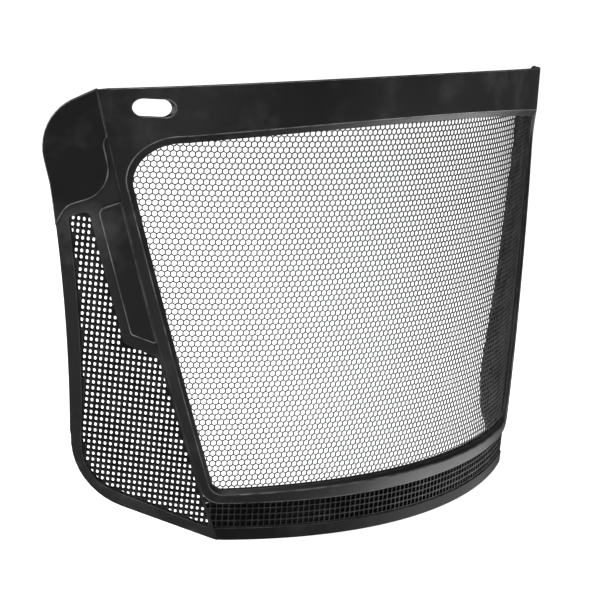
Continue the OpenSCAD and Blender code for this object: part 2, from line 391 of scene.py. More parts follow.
def cut(loop, by, keep_inside=True, mark=0):
    """The part of a loop inside or outside another that it crosses exactly twice."""
    loop, by = marked(loop), marked(by, mark)
    mask = contains(by, loop) == keep_inside
    kept, edge = run_of(loop, mask), run_of(by, contains(loop, by))
    start = np.flatnonzero(mask & ~np.roll(mask, 1))[0]
    end = np.flatnonzero(mask & ~np.roll(mask, -1))[0]
    first = crossing(loop[start], loop[start - 1], by)
    last = crossing(loop[end], loop[(end + 1) % len(loop)], by)
    if not keep_inside:
        edge = edge[::-1]
    for p in (first, last):
        kept = kept[np.linalg.norm(kept[:, :2] - p, axis=1) > CORNER_GAP]
        edge = edge[np.linalg.norm(edge[:, :2] - p, axis=1) > CORNER_GAP]
    ends = [np.append(p, mark)[None] for p in (first, last)]
    return np.concatenate([ends[0], kept, ends[1], edge])


def ahead_of_folds(loop):
    """The part of a front loop between the two folds."""
    s, z = fold_on_front(FOLD_HEIGHTS)
    far = 400
    left = np.concatenate([np.stack([s, z], 1), [[-far, z[-1]], [-far, z[0]]]])
    right = np.concatenate([np.stack([-s, z], 1)[::-1], [[far, z[0]], [far, z[-1]]]])
    return cut(cut(loop, left, mark=1), right, mark=1)


def behind_fold(loop):
    """The part of a side loop behind the fold."""
    u = fold_on_side(FOLD_HEIGHTS)
    far = 200
    fold = np.stack([u, FOLD_HEIGHTS], 1)[::-1]
    return cut(loop, np.concatenate([fold, [[far, fold[-1, 1]], [far, fold[0, 1]]]]), mark=1)


def round_front(loop):
    """A loop drawn as seen from the front, as (distance round the front, height)."""
    loop = loop.copy()
    loop[:, 0] = FRONT_R * np.arcsin(loop[:, 0] / FRONT_R)
    return loop


def inside_folds(loop, gap):
    """The loop with points past the folds drawn in, gap mm short of them."""
    loop = loop.copy()
    limit = fold_at(loop[:, 1]) - gap
    loop[:, 0] = np.clip(loop[:, 0], -limit, limit)
    return loop


# ---- The front's outlines, as seen from the front ----
def frame_loop():
    """The front frame's outline, from the rail below the window to the brow."""
    brow_edge = BROW_DROP * (WIDE_X / FOLD_HIGH[0]) ** 2
    top = TOTAL_H - brow_edge
    rail_x = half_w(RAIL_Z)
    corners = [
        (-rail_x, RAIL_Z, RAIL_CORNER_R, -RAIL_BOW),
        (rail_x, RAIL_Z, RAIL_CORNER_R, 0),
        (WIDE_X, top - 4, 0, 0),
        (WIDE_X, top, 0, -brow_edge),
        (-WIDE_X, top, 0, 0),
        (-WIDE_X, top - 4, 0, 0),
    ]
    return round_front(outline(corners))


def window_loop(m, top_extra=0):
    """The window's outline, moved out by m, and by top_extra more along its upper edge."""
    low_x = WINDOW_LOW_X + LOW_SPREAD * m
    high_x = WINDOW_HIGH_X + HIGH_SPREAD * m + TOP_SPREAD * top_extra
    high_z = WINDOW_Z + WINDOW_H + HIGH_RISE * m + top_extra
    high_r = WINDOW_HIGH_R + m
    corners = [
        (-low_x, WINDOW_Z - m, WINDOW_LOW_R + m, 0),
        (low_x, WINDOW_Z - m, WINDOW_LOW_R + m, -WINDOW_BOW),
        (high_x, high_z, high_r, -WINDOW_ARCH),
        (-high_x, high_z, high_r, -WINDOW_BOW),
    ]
    return round_front(outline(corners, edge_steps=64, arc_steps=14))


CHIN_EDGE = CHIN_RISE * (CHIN_SIDE_X / FOLD_LOW[0]) ** 2


def chin_loop(low, high, high_bow):
    """A strip of the chin between heights at its middle. Its lower edge keeps the chin's curve."""
    corners = [
        (-CHIN_SIDE_X, low + CHIN_EDGE, 0, -CHIN_EDGE),
        (CHIN_SIDE_X, low + CHIN_EDGE, 0, 0),
        (CHIN_SIDE_X, high + high_bow, 0, high_bow),
        (-CHIN_SIDE_X, high + high_bow, 0, 0),
    ]
    return round_front(outline(corners))


# ---- The side panel's outlines, as (distance behind the fold, distance up it) ----
PANEL = [
    (-15, -10.3, 0, 0),
    (53.9, 34.5, 30, 3),
    (27.8, 158, 40, 0),
    (27.3, 184.8, 21, 0),
    (-15, 193.3, 0, 0),
]
TEMPLE = [
    (-15, 176, 0, 0),
    (2.8, 171, 5, 0),
    (3.4, 150, 13, 0),
    (23.5, 148.3, 8, 0),
    (31.5, 140, 0, 0),
    (60, 140, 0, 0),
    (60, 200, 0, 0),
    (-15, 200, 0, 0),
]
VENT = [
    (1.6, 5.4, 1.5, 0),
    (48.5, 37.8, 20, 2.8),
    (24.2, 143.9, 2, 0),
    (15.7, 144.3, 2, 0),
    (15.7, 89.6, 2, 0),
    (3.5, 80.8, 1.5, 0),
]
PAD = [
    (-15, 85.4, 0, 0),
    (4, 87.4, 0, 0),
    (12, 92.6, 2, 0),
    (11.8, 144.5, 3, 0),
    (-15, 147.5, 0, 0),
]
TONGUE = [
    (4.5, 148.5, 1, 0),
    (22, 146.8, 6, 0),
    (27.2, 142.8, 1, 0),
    (27, 153.5, 3, 0),
    (4.5, 157.5, 2, 0),
]
TEMPLE_STAKES = [(9, 154.5), (16, 152.8), (23, 151.8)]


# ---- Walls and plates ----
def moved(loop, inset):
    """The loop moved to its left, which is into the material."""
    p = loop[:, :2]
    before, after = p - np.roll(p, 1, 0), np.roll(p, -1, 0) - p
    n0 = np.stack([-before[:, 1], before[:, 0]], 1) / np.linalg.norm(before, axis=1)[:, None]
    n1 = np.stack([-after[:, 1], after[:, 0]], 1) / np.linalg.norm(after, axis=1)[:, None]
    share = np.maximum(1 + (n0 * n1).sum(1), CORNER_LIMIT)
    out = loop.copy()
    out[:, :2] = p + np.atleast_1d(inset)[:, None] * (n0 + n1) / share[:, None]
    return out


def ring(loop, inset, depth, wear_and_highlight=0.0):
    """One line of points round a wall. On the fold it leans with the joint's mitre."""
    if loop.shape[1] == 3:
        inset = inset + loop[:, 2] * depth * MITRE
        # This value is rubbed edge wear plus painted highlight; on the fold part of it is taken
        # off.
        wear_and_highlight = wear_and_highlight * (1 - FOLD_WEAR_AND_HIGHLIGHT_CUT * abs(loop[:, 2]))
    return moved(loop, inset)[:, :2], depth, wear_and_highlight


def rounded(loop, r, face, angle, way=1, wear_and_highlight=1.0):
    """The ring at this angle round an edge. way is 1 on the near face and -1 on the far one."""
    inset = r * (1 - math.sin(angle))
    depth = face + way * (r * (1 - math.cos(angle)))
    # Wear and painted highlight peak halfway round the edge, as a thin lighter line.
    return ring(loop, inset, depth, wear_and_highlight * math.sin(2 * angle))


def wall(loop, near, far, near_r=0.5, far_r=0.3, steps=4):
    """Rings down the wall of a plate, from depth near to depth far, with rounded edges."""
    angles = np.linspace(0, math.pi / 2, steps + 1)
    front = [rounded(loop, near_r, near, a) for a in angles]
    # The far edges get half the wear and painted highlight.
    back = [rounded(loop, far_r, far, a, -1, 0.5) for a in angles[::-1]]
    return front + back


def hole(loop, near, far, **rounding):
    return wall(loop[::-1], near, far, **rounding)


def inner_points(loops, spacing):
    """A staggered grid of points inside the loops and clear of them."""
    every = np.concatenate(loops)
    low, high = every.min(0), every.max(0)
    xs = np.arange(low[0], high[0], spacing)
    ys = np.arange(low[1], high[1], spacing * ROW_SHARE)
    grid = np.array([(x + spacing / 2 * (j % 2), y) for j, y in enumerate(ys) for x in xs])
    after = np.concatenate([np.roll(loop, -1, 0) for loop in loops])
    grid = grid[odd_crossings(every, after, grid)]
    near = [
        np.linalg.norm(block[:, None] - every[None], axis=2).min(1)
        for block in np.array_split(grid, max(1, len(grid) * len(every) // DISTANCE_PAIRS))
        if len(block)
    ]
    return grid[np.concatenate(near) > spacing * CLEAR_SHARE] if near else grid


def doubled_area(corner):
    """Twice the area of each triangle."""
    p, q = corner[:, 1] - corner[:, 0], corner[:, 2] - corner[:, 0]
    return abs(p[:, 0] * q[:, 1] - p[:, 1] * q[:, 0])


def fill(loops, spacing):
    """Extra points and triangles that fill the first loop and leave the others open."""
    extra = inner_points(loops, spacing)
    points = np.concatenate([*loops, extra])
    edges, start = [], 0
    for loop in loops:
        n = len(loop)
        edges += [(start + i, start + (i + 1) % n) for i in range(n)]
        start += n
    vectors = [Vector(p) for p in points.tolist()]
    found = delaunay_2d_cdt(vectors, edges, [], 0, 1e-7)
    if len(found[0]) != len(points):
        raise ValueError("two outlines of a plate cross")
    source = np.array([ids[0] for ids in found[3]])
    triangles = source[np.array(found[2])]
    a = np.concatenate(loops)
    b = np.concatenate([np.roll(loop, -1, 0) for loop in loops])
    corner = points[triangles]
    keep = odd_crossings(a, b, corner.mean(1)) & (doubled_area(corner) > SLIVER)
    return extra, triangles[keep]


def strips(starts, counts):
    """Quads between each ring of points and the next, for rings of n points."""
    quads = []
    for (p, q), n in zip(zip(starts, starts[1:]), counts):
        i = np.arange(n)
        j = (i + 1) % n
        quads.append(np.stack([p + i, q + i, q + j, p + j], 1))
    return np.concatenate(quads)


def plate(at, walls, spacing=6.0):
    """Points, faces and wear-and-painted-highlight of a plate with rounded walls. The first wall
    is the outer one.
    """
    points, wear_and_highlight, faces, total = [], [], [], 0
    for rings in walls:
        starts = []
        for flat, depth, worn_and_lit in rings:
            starts.append(total)
            points.append(at(flat, depth))
            wear_and_highlight.append(np.zeros(len(flat)) + worn_and_lit)
            total += len(flat)
        faces += strips(starts, [len(rings[0][0])] * (len(rings) - 1)).tolist()
    offsets = np.cumsum([0] + [sum(len(r[0]) for r in rings) for rings in walls])
    for side in (0, -1):
        loops = [rings[side][0] for rings in walls]
        depth = walls[0][side][1]
        extra, triangles = fill(loops, spacing)
        lookup = []
        for rings, start in zip(walls, offsets):
            n = len(rings[0][0])
            first = start if side == 0 else start + n * (len(rings) - 1)
            lookup += range(first, first + n)
        lookup = np.array(lookup + list(range(total, total + len(extra))))
        points.append(at(extra, depth))
        wear_and_highlight.append(np.zeros(len(extra)))
        total += len(extra)
        faces += lookup[triangles if side == 0 else triangles[:, ::-1]].tolist()
    return np.concatenate(points), faces, np.concatenate(wear_and_highlight)


def piece(name, parts, node, material, mirrored=False, smooth=True):
    """A Blender object from one or more closed shells, which stands for a CAD node."""
    points, faces, wear_and_highlight, start = [], [], [], 0
    for p, f, w in parts:
        points.append(p)
        wear_and_highlight.append(w)
        faces += [[i + start for i in (face[::-1] if mirrored else face)] for face in f]
        start += len(p)
    mesh = bpy.data.meshes.new(name)
    mesh.from_pydata(to_row(np.concatenate(points)).tolist(), [], faces)
    # This attribute holds rubbed edge wear plus a painted edge highlight, which the materials
    # read.
    mesh.attributes.new("wear_and_highlight", "FLOAT", "POINT").data.foreach_set(
        "value", np.concatenate(wear_and_highlight).astype(np.float32)
    )
    mesh.polygons.foreach_set("use_smooth", [smooth] * len(mesh.polygons))
    if smooth:
        mesh.set_sharp_from_angle(angle=SHARP_ANGLE)
    obj = bpy.data.objects.new(name, mesh)
    bpy.context.scene.collection.objects.link(obj)
    if smooth:
        weighted = obj.modifiers.new("weighted_normals", "WEIGHTED_NORMAL")
        weighted.keep_sharp = True
        weighted.weight = NORMAL_WEIGHT
    mesh.materials.append(material)
    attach(obj, "root")
    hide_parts(node)
    return obj


# ---- Materials ----
CLOUD_SCALE = 22
SMUDGE_SCALE = 38
RUB_AND_HIGHLIGHT_SCALE = 160
PATCH_SCALE = 120
PEEL_SCALE = 3000
GRAIN_DEPTH = 0.00003
PEEL_DEPTH = 0.00002
PLASTIC_WARMTH = 0.02
CLOUD_TONES = (0.85, 1.15)
SMUDGE_TONE = 4
RUBBED_GLOSS = 0.18
SMOOTHEST = 0.2


def feed(tree, socket, value):
    """Set a socket to a constant, or link it to another node's output."""
    if isinstance(value, bpy.types.NodeSocket):
        tree.links.new(value, socket)
    else:
        socket.default_value = value


def node_of(tree, kind, **inputs):
    """A shader node with its named inputs fed."""
    node = tree.nodes.new(kind)
    for name, value in inputs.items():
        feed(tree, node.inputs[name.replace("_", " ")], value)
    return node


def ranged(tree, value, low, high, to_low, to_high):
    """A value's range from low to high, spread from to_low to to_high."""
    ends = {"From_Min": low, "From_Max": high, "To_Min": to_low, "To_Max": to_high}
    return node_of(tree, "ShaderNodeMapRange", Value=value, **ends).outputs["Result"]


def noise(tree, where, scale, detail=3.0, roughness=0.5):
    settings = {"Scale": scale, "Detail": detail, "Roughness": roughness}
    return node_of(tree, "ShaderNodeTexNoise", Vector=where, **settings).outputs["Fac"]


def mixed(tree, share, low, high):
    """A colour between two others. The node's colour sockets are numbers 6, 7 and output 2."""
    node = tree.nodes.new("ShaderNodeMix")
    node.data_type = "RGBA"
    feed(tree, node.inputs[0], share)
    feed(tree, node.inputs[6], low)
    feed(tree, node.inputs[7], high)
    return node.outputs[2]


def product(tree, a, b):
    node = tree.nodes.new("ShaderNodeMath")
    node.operation = "MULTIPLY"
    feed(tree, node.inputs[0], a)
    feed(tree, node.inputs[1], b)
    return node.outputs[0]


def grey(value, warmth=0.0):
    return (value * (1 + warmth), value, value * (1 - warmth), 1)


def plastic_grey(value):
    return grey(value, PLASTIC_WARMTH)


def new_material(name):
    """A material with its node tree, its shader and its object's own coordinates."""
    material = bpy.data.materials.new(name)
    material.use_nodes = True
    tree = material.node_tree
    where = tree.nodes.new("ShaderNodeTexCoord").outputs["Object"]
    return material, tree, tree.nodes["Principled BSDF"], where


def bump(tree, shader, height, strength, depth):
    node = node_of(tree, "ShaderNodeBump", Height=height, Strength=strength, Distance=depth)
    tree.links.new(node.outputs[0], shader.inputs["Normal"])


def rub_and_highlight_share(tree, where):
    """Rubbed wear plus painted edge highlight: the mesh's values, broken up into patches."""
    wear_and_highlight = node_of(tree, "ShaderNodeAttribute")
    wear_and_highlight.attribute_name = "wear_and_highlight"
    broken = ranged(tree, noise(tree, where, RUB_AND_HIGHLIGHT_SCALE, 4), 0.38, 0.62, 0.25, 1)
    return product(tree, wear_and_highlight.outputs["Fac"], broken)


def moulded(name, tone, rough, grain=0.5, grain_scale=2600, wear_highlight_tone=0.06, gloss=0.5):
    """Black moulded plastic: fine grain, a cloudy sheen, light smudges, rubbed edges with painted
    highlight.
    """
    material, tree, shader, where = new_material(name)
    clouds = noise(tree, where, CLOUD_SCALE, 4)
    smudges = ranged(tree, noise(tree, where, SMUDGE_SCALE, 6, 0.62), 0.5, 0.68, 0, 1)
    rubbed_and_lit = rub_and_highlight_share(tree, where)
    dark, pale = (plastic_grey(tone * share) for share in CLOUD_TONES)
    colour = mixed(tree, ranged(tree, clouds, 0.3, 0.7, 0, 1), dark, pale)
    colour = mixed(tree, product(tree, smudges, 0.7), colour, plastic_grey(tone * SMUDGE_TONE))
    # Rounded edges are painted lighter: partly rubbed wear, partly painted highlight.
    colour = mixed(tree, product(tree, rubbed_and_lit, 0.8), colour, grey(wear_highlight_tone))
    tree.links.new(colour, shader.inputs["Base Color"])
    dull = ranged(tree, clouds, 0.3, 0.7, rough - 0.05, rough + 0.05)
    smooth = node_of(tree, "ShaderNodeMix", Factor=rubbed_and_lit)
    feed(tree, smooth.inputs[2], dull)
    feed(tree, smooth.inputs[3], max(SMOOTHEST, rough - RUBBED_GLOSS))
    tree.links.new(smooth.outputs[0], shader.inputs["Roughness"])
    bump(tree, shader, noise(tree, where, grain_scale, 3, 0.6), grain, GRAIN_DEPTH)
    shader.inputs["Specular IOR Level"].default_value = gloss
    return material


def painted_steel(name):
    """Black baked paint on etched steel, a little thinner in places."""
    material, tree, shader, where = new_material(name)
    patches = noise(tree, where, PATCH_SCALE, 3)
    colour = mixed(tree, ranged(tree, patches, 0.35, 0.65, 0, 1), grey(0.016), grey(0.035))
    tree.links.new(colour, shader.inputs["Base Color"])
    tree.links.new(ranged(tree, patches, 0.3, 0.7, 0.38, 0.55), shader.inputs["Roughness"])
    bump(tree, shader, noise(tree, where, PEEL_SCALE, 2), 0.3, PEEL_DEPTH)
    shader.inputs["Specular IOR Level"].default_value = 0.4
    return material


FRAME_BLACK = moulded("frame_black", 0.009, 0.4, wear_highlight_tone=0.22)
BAND_BLACK = moulded("band_black", 0.005, 0.55, wear_highlight_tone=0.08, gloss=0.2)
TEMPLE_BLACK = moulded("temple_black", 0.009, 0.4, wear_highlight_tone=0.25)
WING_BLACK = moulded("wing_black", 0.017, 0.5, grain=0.6, wear_highlight_tone=0.1)
PAD_BLACK = moulded("pad_black", 0.012, 0.45, wear_highlight_tone=0.3)
GRILLE_BLACK = moulded("grille_black", 0.003, 0.6, grain=0.3, gloss=0.25)
LATTICE_BLACK = moulded("lattice_black", 0.005, 0.55, grain=0.3, gloss=0.35)
RING_BLACK = moulded("ring_black", 0.012, 0.5)
STAKE_BLACK = moulded("stake_black", 0.02, 0.3, grain=0.15, grain_scale=900)
MESH_PAINT = painted_steel("mesh_paint")


# ---- Front frame ----
def slot_rings(sign):
    """Rings through the brow band, straight along Y, as the carrier's stud passes."""
    reach, r = (SLOT_LEN - SLOT_W) / 2, SLOT_W / 2
    angles = np.linspace(0, math.pi, 17)
    end = np.stack([reach + r * np.sin(angles), -r * np.cos(angles)], 1)
    loop = np.concatenate([end, end * [-1, -1]]) + [sign * SLOT_SPACING / 2, SLOT_Z]
    rings = []
    for flat, depth, worn_and_lit in hole(loop, 0, FRAME_T, near_r=0.45, far_r=0.35):
        flat = flat.copy()
        flat[:, 0] = FRONT_R * np.arcsin(flat[:, 0] / (FRONT_R - depth))
        rings.append((flat, depth, worn_and_lit))
    return rings


def window_rings():
    """The stepped window edge: a rounded rim, a sunken lip, and a drop to the mesh."""
    rim = window_loop(LIP_W, LIP_TOP_W - LIP_W)[::-1]
    sill = window_loop(0)[::-1]

    def between(share):
        return rim + share * (sill - rim)

    rings = [rounded(rim, RIM_R, 0, a) for a in np.linspace(0, math.pi / 2, 5)]
    rings.append(ring(between(0.03), 0, LIP_DEPTH - 0.55))
    rings.append(ring(between(0.12), 0, LIP_DEPTH - 0.4))
    sill_face = LIP_DEPTH + SILL_DROP
    # The sill's round gets a fainter line of wear and painted highlight.
    rings += [rounded(sill, SILL_R, sill_face, a, 1, 0.3) for a in np.linspace(0, math.pi / 2, 4)]
    rings.append(ring(sill, 0, FRAME_T))
    return rings


def front_frame():
    loop = ahead_of_folds(frame_loop())
    walls = [wall(loop, 0, FRAME_T, near_r=0.4), window_rings(), slot_rings(1), slot_rings(-1)]
    piece("frame_moulding", [plate(on_front, walls)], "front_frame", FRAME_BLACK)


# ---- Hexagonal mesh ----
HEX_ROW = HEX_PITCH * math.sqrt(3) / 2
HEX_REACH = 70


def hex_cells():
    """Row and column numbers of the whole cells inside the clamp."""
    rows = np.arange(int(TOTAL_H / HEX_ROW))
    columns = np.arange(-HEX_REACH, HEX_REACH + 1)
    cells = np.array([(r, c) for r in rows for c in columns])
    return cells[contains(window_loop(MESH_GRIP), hex_centres(cells))]


def hex_centres(cells):
    x = (cells[:, 1] + 0.5 * (cells[:, 0] % 2)) * HEX_PITCH
    return np.stack([x, cells[:, 0] * HEX_ROW], 1)


def hex_neighbour(cell, k):
    """The cell beyond side k, counted anticlockwise from the right."""
    r, c = cell
    odd = r % 2
    steps = [(0, 1), (1, odd), (1, odd - 1), (0, -1), (-1, odd - 1), (-1, odd)]
    return r + steps[k][0], c + steps[k][1]


def hex_mesh():
    """An etched sheet: six-sided holes, with flat bars between them and whole cells at its edge.
    Corner k of a cell lies between its sides k and k + 1."""
    cells = [tuple(c) for c in hex_cells().tolist()]
    real = set(cells)
    ring_cells = {hex_neighbour(c, k) for c in cells for k in range(6)} - real
    every = cells + sorted(ring_cells)
    number = {c: i for i, c in enumerate(every)}
    angles = np.radians(30 + 60 * np.arange(6))
    corner_r = (HEX_PITCH - HEX_BAR) / math.sqrt(3)
    corners = corner_r * np.stack([np.cos(angles), np.sin(angles)], 1)
    flat = (hex_centres(np.array(every))[:, None] + corners).reshape(-1, 2)
    back = len(flat)
    near = FRAME_T + MESH_CLEARANCE
    points = np.concatenate([on_front(flat, near), on_front(flat, near + MESH_T)])
    faces = []

    def at(cell, k):
        return number[cell] * 6 + k % 6

    def flat_face(ids):
        faces.append(list(ids))
        faces.append([i + back for i in reversed(ids)])

    for cell in every:
        for k in range(6):
            other = hex_neighbour(cell, k)
            third = hex_neighbour(cell, (k + 1) % 6)
            known = other in number
            a, b = at(cell, k - 1), at(cell, k)
            if known and (cell in real or other in real):
                if cell < other:
                    flat_face([a, at(other, k + 3), at(other, k + 2), b])
                faces.append([a, b, b + back, a + back])
            trio = known and third in number
            if trio and cell < other and cell < third and real & {cell, other, third}:
                flat_face([b, at(other, k + 2), at(third, k + 4)])
            if trio and third in real and cell not in real and other not in real:
                p, q = b, at(other, k + 2)
                faces.append([p, p + back, q + back, q])
    used = np.unique(np.concatenate([np.array(f) for f in faces]))
    renumber = np.full(len(points), -1)
    renumber[used] = np.arange(len(used))
    faces = [renumber[f].tolist() for f in faces]
    return points[used], faces, np.zeros(len(used))


def mesh_screen():
    piece("hex_mesh", [hex_mesh()], "mesh_screen", MESH_PAINT, smooth=False)


# ---- Clamp ring and heat stakes ----
def clamp_ring():
    near, far = FRAME_T + MESH_T, FRAME_T + MESH_T + RETAINER_T
    outer = inside_folds(window_loop(RETAINER_W), far * MITRE + 0.1)
    walls = [
        wall(outer, near, far, near_r=0.2, far_r=0.5),
        hole(window_loop(0), near, far, near_r=0.2, far_r=0.6),
    ]
    piece("clamp_ring", [plate(on_front, walls)], "mesh_retainer", RING_BLACK)


def stake(base, outwards):
    """A melted pin head with a dimple, on its pin. base is on the face that the head lies on."""
    circles = [(STAKE_R, STAKE_LEN), (STAKE_R, 0)]
    circles += [(STAKE_HEAD_R * share, -height) for share, height in HEAD_PROFILE]
    side = unit(np.cross(outwards, [0.0, 0.0, 1.0]))
    up = np.cross(side, outwards)
    angles = 2 * math.pi * np.arange(STAKE_TURNS) / STAKE_TURNS
    points, faces = [base + STAKE_LEN * outwards], []
    for r, h in circles:
        circle = np.outer(np.cos(angles), side) + np.outer(np.sin(angles), up)
        points += list(base + h * outwards + r * circle)
    points.append(base - DIMPLE_HEIGHT * outwards)
    rings = len(circles)
    for i in range(STAKE_TURNS):
        j = (i + 1) % STAKE_TURNS
        faces.append([0, 1 + j, 1 + i])
        for k in range(rings - 1):
            p, q = 1 + k * STAKE_TURNS, 1 + (k + 1) * STAKE_TURNS
            faces.append([p + i, p + j, q + j, q + i])
        last = 1 + (rings - 1) * STAKE_TURNS
        faces.append([last + i, last + j, len(points) - 1])
    return np.array(points), faces, np.zeros(len(points))


def stake_spots():
    """Where the pins stand round the window: 35 mm apart, and 40 mm along its lower edge."""
    def top(x):
        return WINDOW_Z + WINDOW_H + WINDOW_ARCH * (1 - (x / WINDOW_HIGH_X) ** 2)

    low, high = (WINDOW_LOW_X, 0, 0, 0), (WINDOW_HIGH_X, WINDOW_H, 0, 0)
    spots = [(x, top(x) + PIN_LINE) for x in range(-105, 106, 35)]
    spots += [(x, WINDOW_Z - PIN_LINE) for x in range(-80, 81, 40)]
    for z in range(50, 121, 35):
        x = bowed(low, high, -WINDOW_BOW, (z - WINDOW_Z) / WINDOW_H)[0, 0] + PIN_LINE
        spots += [(-x, z), (x, z)]
    return spots


def clamp_stakes():
    stakes = []
    depth = FRAME_T + MESH_T + RETAINER_T
    for x, z in stake_spots():
        flat = round_front(np.array([[x, z]], float))
        face, outer = on_front(flat, depth)[0], on_front(flat, 0)[0]
        stakes.append(stake(face, unit(outer - face)))
    piece("clamp_stakes", stakes, "retainer_stakes", STAKE_BLACK)


# ---- Square-hole lattices ----
# The share of a whole hole that a partly cut one needs, to be kept
SMALLEST_HOLE = 0.3


def square_hole(size, corner=0.28):
    """A square hole with cut corners, clockwise, so that its left is the material."""
    x, y = size[0] / 2, size[1] / 2
    cx, cy = x - corner, y - corner
    half = [(-x, -cy), (-x, cy), (-cx, y), (cx, y)]
    return np.array(half + [(-a, -b) for a, b in half])


def clipped(polygon, point, inward):
    """The part of a convex polygon on the inward side of a line through point."""
    out, gaps = [], (polygon - point) @ inward
    for i in range(len(polygon)):
        j = (i + 1) % len(polygon)
        if gaps[i] >= 0:
            out.append(polygon[i])
        if (gaps[i] >= 0) != (gaps[j] >= 0):
            share = gaps[i] / (gaps[i] - gaps[j])
            out.append(polygon[i] + share * (polygon[j] - polygon[i]))
    return np.array(out).reshape(-1, 2)


def area(polygon):
    x, y = polygon[:, 0], polygon[:, 1]
    return abs((x * np.roll(y, -1) - y * np.roll(x, -1)).sum()) / 2


def without_short_edges(polygon, shortest=0.12):
    steps = np.linalg.norm(polygon - np.roll(polygon, 1, 0), axis=1)
    return polygon[steps > shortest]


def holes_within(region, holes):
    """The holes whose middles lie in the region."""
    middles = np.array([h.mean(0) for h in holes])
    return [h for h, inside in zip(holes, contains(region, middles)) if inside]


def trimmed_holes(holes, region, rib):
    """The holes cut back to leave a rib along the region's edge. Scraps are dropped."""
    a, b = region[:, :2], np.roll(region[:, :2], -1, 0)
    way = b - a
    length = np.linalg.norm(way, axis=1)
    inward = np.stack([-way[:, 1], way[:, 0]], 1) / length[:, None]
    reach = np.linalg.norm(holes[0] - holes[0].mean(0), axis=1).max() + rib
    whole, kept = area(holes[0]), []
    for polygon in holes:
        middle = polygon.mean(0)
        share = np.clip(((middle - a) * way).sum(1) / length**2, 0, 1)
        gap = np.linalg.norm(middle - (a + share[:, None] * way), axis=1)
        for i in np.flatnonzero(gap < reach):
            if len(polygon):
                polygon = clipped(polygon, a[i] + rib * inward[i], inward[i])
        if len(polygon) > 2 and area(polygon) > SMALLEST_HOLE * whole:
            polygon = without_short_edges(polygon)
            if len(polygon) > 2:
                kept.append(polygon)
    return kept


def lattice_walls(holes, near, far, taper):
    """Rings of tapered holes, widest at the face. Their narrow end is the outline given."""
    knee = near + 0.12 * (far - near)
    # The bars' crests at the face get half-strength wear and painted highlight.
    return [
        [ring(h, taper, near, 0.5), ring(h, taper * 0.85, knee), ring(h, 0, far)]
        for h in holes
    ]


def grid_of_holes(size, pitch, turn, low, high):
    """Holes on a square grid turned by an angle, over a box from low to high."""
    hole_points = square_hole(size)
    c, s = math.cos(turn), math.sin(turn)
    to_panel = np.array([[c, s], [-s, c]])
    reach = int(max(high[0] - low[0], high[1] - low[1]) / min(pitch)) + 2
    middle = (np.array(low) + high) / 2
    holes = []
    for j in range(-reach, reach):
        for i in range(-reach, reach):
            spot = middle + np.array([i * pitch[0], j * pitch[1]]) @ to_panel
            if low[0] < spot[0] < high[0] and low[1] < spot[1] < high[1]:
                holes.append(spot + hole_points @ to_panel)
    return holes


# ---- Side panels ----
def temple_plate():
    loop = cut(behind_fold(outline(PANEL)), outline(TEMPLE))
    return [wall(loop, 0, TEMPLE_T, near_r=0.6)]


def side_wing():
    far = WING_STEP + WING_T
    loop = cut(behind_fold(outline(PANEL)), outline(TEMPLE), keep_inside=False)
    vent = outline(VENT)
    rounding = {"near_r": 0.25, "far_r": 0.12}
    return [wall(loop, WING_STEP, far, **rounding), hole(vent, WING_STEP, far, **rounding)]


def tongue():
    """The wing's strip that runs up behind the temple plate, where the pins hold it."""
    return [wall(outline(TONGUE), TEMPLE_T + HAIR, WING_STEP + WING_T, near_r=0.1, far_r=0.4)]


def side_grille():
    near = WING_STEP + (WING_T - GRILLE_T) / 2
    region = outline(VENT)
    low, high = region.min(0), region.max(0)
    holes = grid_of_holes(GRILLE_HOLE, GRILLE_PITCH, GRILLE_TURN, low, high)
    holes = holes_within(region, holes)
    holes = trimmed_holes(holes, region, GRILLE_TAPER + GRILLE_RIB)
    rim = wall(region, near, near + GRILLE_T, near_r=0.05, far_r=0.05, steps=1)
    return [rim, *lattice_walls(holes, near, near + GRILLE_T, GRILLE_TAPER)]


def cheek_pad():
    loop = behind_fold(outline(PAD))
    return [wall(loop, WING_STEP - PAD_T, WING_STEP + HAIR, near_r=0.75, far_r=HAIR)]


def temple_stakes():
    """The pins on the left side, on the inner face of the wing's tongue."""
    stakes = []
    for spot in TEMPLE_STAKES:
        flat = np.array([spot], float)
        face, outer = on_left(flat, WING_STEP + WING_T)[0], on_left(flat, 0)[0]
        stakes.append(stake(face, unit(outer - face)))
    return stakes


def side_panel(side, at):
    """All five pieces of one side. The right side's are the left's, mirrored."""
    mirrored = side == "right"

    def build(name, parts, node, material):
        piece(f"{side}_{name}", parts, f"{side}_{node}", material, mirrored)

    cover = [plate(at, temple_plate())]
    wing = [plate(at, side_wing()), plate(at, tongue(), 8)]
    vent = [plate(at, side_grille(), NO_FILLING)]
    pad = [plate(at, cheek_pad())]
    build("temple_cover", cover, "temple_plate", TEMPLE_BLACK)
    build("wing_moulding", wing, "side_wing", WING_BLACK)
    build("vent_lattice", vent, "side_grille", GRILLE_BLACK)
    build("pad_moulding", pad, "cheek_pad", PAD_BLACK)
    stakes = temple_stakes()
    if mirrored:
        stakes = [(points * [-1, 1, 1], faces, wear_and_highlight) for points, faces, wear_and_highlight in stakes]
    build("pin_heads", stakes, "temple_stakes", STAKE_BLACK)


# ---- Chin band ----
def chin_band():
    """The border along the chin's edge, and the strip that backs the lattice."""
    border = ahead_of_folds(chin_loop(0, BORDER_H, CHIN_EDGE))
    backing = ahead_of_folds(chin_loop(0, WINDOW_Z - RETAINER_W - BACKING_GAP, 0))
    near, far = FRAME_T, FRAME_T + BACKING_T
    border_part = plate(on_front, [wall(border, BORDER_STEP, FRAME_T, near_r=0.4, far_r=0.1)])
    backing_part = plate(on_front, [wall(backing, near, far, near_r=0.1, far_r=0.3)])
    parts = [border_part, backing_part]
    piece("chin_border", parts, "chin_band", BAND_BLACK)


